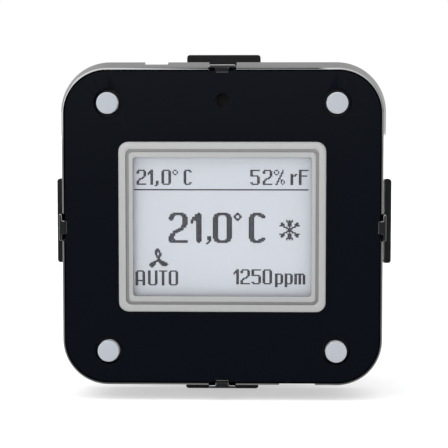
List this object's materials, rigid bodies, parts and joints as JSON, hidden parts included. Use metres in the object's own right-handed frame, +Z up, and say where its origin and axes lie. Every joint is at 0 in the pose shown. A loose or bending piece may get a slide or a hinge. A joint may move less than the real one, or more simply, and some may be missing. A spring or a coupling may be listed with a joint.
{
  "type": "carbon dioxide monitor",
  "caption": "Flush-mounted room air monitor with a dot-matrix display in a black plate, key plungers at the corners and snap latches on its sides.",
  "frame": {"origin": "on the device's centre line, in the plane where the rear faces of the four side wings rest on the support ring of the flush box", "axes": "+X to the right as seen from the room, +Y into the wall, +Z up; the display faces -Y"},
  "size_m": [0.0604, 0.0325, 0.0604],
  "materials": {
    "black_plate": "fine satin black moulding",
    "black_shell": "glossy black moulding",
    "black_housing": "satin black moulding",
    "grey_frame": "satin light grey moulding",
    "white_key": "smooth milky white moulding",
    "clear_window": "clear polished pane",
    "lcd_glass": "liquid crystal glass",
    "lcd_film": "grey polarising film",
    "light_plastic": "clear light guide",
    "white_film": "white reflector film",
    "white_plastic": "white moulding",
    "foam": "black foam",
    "amber_film": "amber flexible film",
    "circuit_board": "green solder mask",
    "chip_black": "black moulded package",
    "switch_black": "black switch body",
    "switch_cap": "red-brown switch button",
    "screw_steel": "zinc-plated steel",
    "tinned_pin": "tinned contact",
    "gold_cell": "gold-plated optical cell",
    "capacitor_can": "aluminium can",
    "ferrite": "ferrite choke",
    "soft_tube": "soft rubber tube",
    "membrane": "white porous membrane"
  },
  "bodies": {
    "housing": {"front_plate": "black_plate", "front_shell": "black_shell", "rear_housing": "black_housing", "display_frame": "grey_frame", "display_window": "clear_window", "display_gasket": "foam", "lcd_polariser": "lcd_film", "lcd_front_glass": "lcd_glass", "lcd_rear_glass": "lcd_glass", "light_guide": "light_plastic", "light_reflector": "white_film", "backlight_leds": "white_plastic", "lcd_holder": "white_plastic", "lcd_flex": "amber_film", "switch_bodies": "switch_black", "display_board": "circuit_board", "bus_board": "circuit_board", "board_screws": "screw_steel", "microcontroller": "chip_black", "board_chips": "chip_black", "capacitor": "capacitor_can", "choke": "ferrite", "board_header": "chip_black", "board_socket": "chip_black", "bus_connector": "chip_black", "bus_pins": "tinned_pin", "sensor_tube": "soft_tube", "humidity_sensor": "chip_black", "co2_board": "circuit_board", "co2_headers": "chip_black", "co2_chamber": "gold_cell", "co2_lamp": "screw_steel", "co2_detector": "screw_steel", "co2_membrane": "membrane"},
    "key_top_left": {"key_top_left": "white_key", "switch_button_top_left": "switch_cap"},
    "key_top_right": {"key_top_right": "white_key", "switch_button_top_right": "switch_cap"},
    "key_bottom_left": {"key_bottom_left": "white_key", "switch_button_bottom_left": "switch_cap"},
    "key_bottom_right": {"key_bottom_right": "white_key", "switch_button_bottom_right": "switch_cap"},
    "latch_top": {"latch_top": "black_housing"},
    "latch_right": {"latch_right": "black_housing"},
    "latch_bottom": {"latch_bottom": "black_housing"},
    "latch_left": {"latch_left": "black_housing"}
  },
  "joints": [
    {"name": "key_top_left_press", "type": "slide", "parent": "housing", "child": "key_top_left", "axis": [0, 1, 0], "range_m": [0, 0.0006], "stiffness_N_per_m": 2500, "springref_m": -0.0002},
    {"name": "key_top_right_press", "type": "slide", "parent": "housing", "child": "key_top_right", "axis": [0, 1, 0], "range_m": [0, 0.0006], "stiffness_N_per_m": 2500, "springref_m": -0.0002},
    {"name": "key_bottom_left_press", "type": "slide", "parent": "housing", "child": "key_bottom_left", "axis": [0, 1, 0], "range_m": [0, 0.0006], "stiffness_N_per_m": 2500, "springref_m": -0.0002},
    {"name": "key_bottom_right_press", "type": "slide", "parent": "housing", "child": "key_bottom_right", "axis": [0, 1, 0], "range_m": [0, 0.0006], "stiffness_N_per_m": 2500, "springref_m": -0.0002},
    {"name": "latch_top_flex", "type": "hinge", "parent": "housing", "child": "latch_top", "pos_m": [0, -0.0016, 0.02795], "axis": [-1, 0, 0], "range_deg": [0, 4], "stiffness_Nm_per_rad": 1.5, "springref_deg": -0.57},
    {"name": "latch_right_flex", "type": "hinge", "parent": "housing", "child": "latch_right", "pos_m": [0.0282, -0.0016, 0], "axis": [0, 0, 1], "range_deg": [0, 4], "stiffness_Nm_per_rad": 1.5, "springref_deg": -0.57},
    {"name": "latch_bottom_flex", "type": "hinge", "parent": "housing", "child": "latch_bottom", "pos_m": [0, -0.0016, -0.02795], "axis": [1, 0, 0], "range_deg": [0, 4], "stiffness_Nm_per_rad": 1.5, "springref_deg": -0.57},
    {"name": "latch_left_flex", "type": "hinge", "parent": "housing", "child": "latch_left", "pos_m": [-0.0282, -0.0016, 0], "axis": [0, 0, -1], "range_deg": [0, 4], "stiffness_Nm_per_rad": 1.5, "springref_deg": -0.57}
  ]
}
